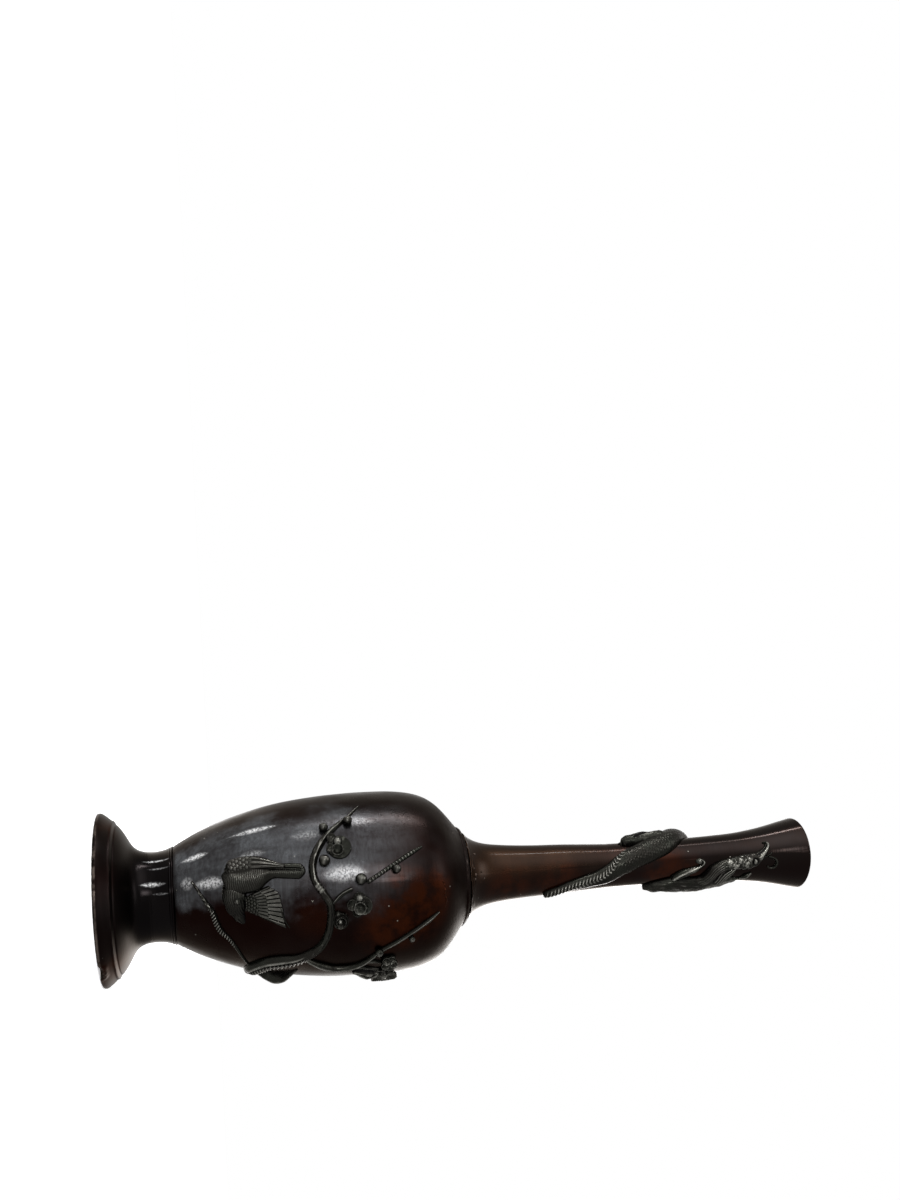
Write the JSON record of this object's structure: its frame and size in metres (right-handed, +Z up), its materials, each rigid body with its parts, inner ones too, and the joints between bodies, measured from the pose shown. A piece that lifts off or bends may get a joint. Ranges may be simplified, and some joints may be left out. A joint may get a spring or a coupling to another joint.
{
  "type": "bud vase",
  "caption": "Slender footed bronze bud vase with a trumpet mouth; a plum branch and bird stand in relief on the body and a dragon winds round the neck.",
  "frame": {"origin": "centre of the foot, level with the table it stands on", "axes": "+Z up along the axis of the vase, -Y to the front, where the bird is, +X to the right"},
  "size_m": [0.065, 0.066, 0.25],
  "materials": {
    "dark_patina": "near-black violet-brown bronze patina, waxed, with red-brown mottling",
    "brown_patina": "brown bronze patina, waxed, with chestnut mottling",
    "relief_patina": "grey-green bronze patina, rubbed lighter on the high points"
  },
  "bodies": {
    "root": {"foot": "dark_patina", "base_plate": "dark_patina", "body": "dark_patina", "neck": "brown_patina", "main_branch": "relief_patina", "branch_spur": "relief_patina", "right_branch": "relief_patina", "blossom_twig": "relief_patina", "low_twig": "relief_patina", "front_shoot": "relief_patina", "right_shoot": "relief_patina", "left_blossom": "relief_patina", "front_blossom": "relief_patina", "small_blossom": "relief_patina", "right_blossom": "relief_patina", "side_blossom": "relief_patina", "front_shoot_base_bud": "relief_patina", "front_shoot_bud": "relief_patina", "right_shoot_base_bud": "relief_patina", "right_shoot_bud": "relief_patina", "left_low_bud": "relief_patina", "left_tip_bud": "relief_patina", "left_mid_bud": "relief_patina", "bird": "relief_patina", "bird_spread_wing": "relief_patina", "dragon_coil": "relief_patina", "dragon_head": "relief_patina", "dragon_hind_leg": "relief_patina", "dragon_foreleg": "relief_patina", "dragon_hanging_leg": "relief_patina", "dragon_curl": "relief_patina", "dragon_fin": "relief_patina"}
  },
  "joints": []
}
